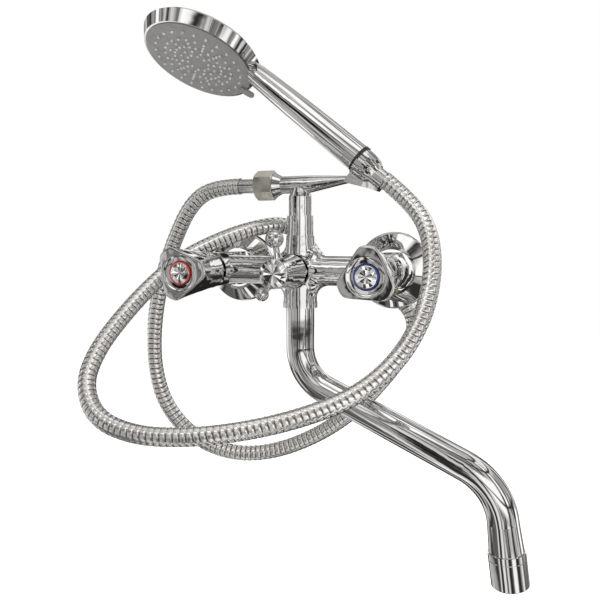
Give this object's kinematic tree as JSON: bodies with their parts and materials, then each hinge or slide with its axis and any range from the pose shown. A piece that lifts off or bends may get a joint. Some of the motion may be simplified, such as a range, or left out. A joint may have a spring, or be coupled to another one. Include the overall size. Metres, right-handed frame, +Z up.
{
  "type": "bath and shower mixer",
  "caption": "Wall-mounted chrome bath and shower mixer with lobed handles, a lever diverter, a long swivel spout and a hand shower on a ribbed metal hose that rests in a cradle",
  "frame": {"origin": "On the wall plane, midway between the two threaded inlet tails", "axes": "X to the right along the inlets, Y into the wall, Z up"},
  "size_m": [0.3484, 0.2046, 0.4481],
  "materials": {
    "chrome": "polished",
    "nickel": "nickel plated",
    "brass": "machined",
    "steel": "machined",
    "rubber": "matte",
    "ceramic": "lapped",
    "white_plastic": "matte",
    "grey_plastic": "satin",
    "black_plastic": "satin",
    "red_plastic": "gloss",
    "blue_plastic": "gloss",
    "clear_plastic": "clear",
    "silicone": "matte"
  },
  "bodies": {
    "body": {"cold_eccentric": "brass", "cold_fixed_disc": "ceramic", "cold_headwork": "chrome", "cold_inlet_washer": "rubber", "cold_seat_seal": "rubber", "cold_union_nut": "chrome", "diverter_gland": "chrome", "hose_front_loop": "chrome", "hose_handset_end": "chrome", "hose_rear_loop": "chrome", "hot_eccentric": "brass", "hot_fixed_disc": "ceramic", "hot_headwork": "chrome", "hot_inlet_washer": "rubber", "hot_seat_seal": "rubber", "hot_union_nut": "chrome", "mixer_body": "chrome", "outlet_ferrule": "chrome", "outlet_hose_nut": "nickel", "outlet_hose_washer": "rubber", "riser_and_cradle": "chrome", "spout_ring_nut": "chrome"},
    "hot_flange": {"hot_wall_flange": "chrome"},
    "cold_flange": {"cold_wall_flange": "chrome"},
    "hot_tap": {"hot_moving_disc": "ceramic", "hot_spindle": "brass", "hot_handle": "chrome", "hot_handle_screw": "steel", "hot_index_ring": "red_plastic", "hot_jewel": "clear_plastic"},
    "cold_tap": {"cold_moving_disc": "ceramic", "cold_spindle": "brass", "cold_handle": "chrome", "cold_handle_screw": "steel", "cold_index_ring": "blue_plastic", "cold_jewel": "clear_plastic"},
    "diverter": {"diverter_rotor": "brass", "diverter_hub": "chrome", "diverter_hub_screw": "steel", "diverter_long_lever": "chrome", "diverter_short_lever": "chrome", "diverter_cap": "chrome"},
    "spout": {"spout_tube": "chrome", "spout_slip_ring": "white_plastic", "spout_upper_o_ring": "rubber", "spout_lower_o_ring": "rubber", "aerator_housing": "chrome", "aerator_washer": "rubber", "aerator_insert": "white_plastic"},
    "hose_end": {"cone_ferrule": "chrome"},
    "hand_shower": {"cone_nut": "chrome", "cone_hose_washer": "rubber", "handset_shell": "chrome", "grip_ring": "black_plastic", "water_distributor": "white_plastic"},
    "spray_face": {"spray_faceplate": "grey_plastic", "nozzle_mat": "silicone", "selector_tab": "grey_plastic"}
  },
  "joints": [
    {"name": "hot_handle_turn", "type": "hinge", "parent": "body", "child": "hot_tap", "pos_m": [-0.075, -0.1, 0.004], "axis": [0, -1, 0], "range_deg": [0, 90]},
    {"name": "cold_handle_turn", "type": "hinge", "parent": "body", "child": "cold_tap", "pos_m": [0.075, -0.1, 0.004], "axis": [0, -1, 0], "range_deg": [0, 90]},
    {"name": "diverter_turn", "type": "hinge", "parent": "body", "child": "diverter", "pos_m": [0, -0.095, 0.004], "axis": [0, -1, 0], "range_deg": [0, 180]},
    {"name": "spout_swivel", "type": "hinge", "parent": "body", "child": "spout", "pos_m": [0, -0.05, -0.05], "axis": [0, 0, 1], "range_deg": [-155, 11]},
    {"name": "hot_flange_slide", "type": "slide", "parent": "body", "child": "hot_flange", "axis": [0, -1, 0], "range_m": [0, 0.018]},
    {"name": "cold_flange_slide", "type": "slide", "parent": "body", "child": "cold_flange", "axis": [0, -1, 0], "range_m": [0, 0.002]},
    {"name": "hand_shower_lift", "type": "slide", "parent": "body", "child": "hose_end", "axis": [-0.7738, 0, 0.6334], "range_m": [0, 0.045], "deforming": ["hose_handset_end"]},
    {"name": "hand_shower_turn", "type": "hinge", "parent": "hose_end", "child": "hand_shower", "pos_m": [0.0523, -0.05, 0.0938], "axis": [-0.7738, 0, 0.6334], "range_deg": [-15, 145]},
    {"name": "spray_selector", "type": "hinge", "parent": "hand_shower", "child": "spray_face", "pos_m": [-0.08895, -0.06058, 0.18111], "axis": [-0.1848, -0.3935, -0.9006], "range_deg": [-72, 12]}
  ]
}
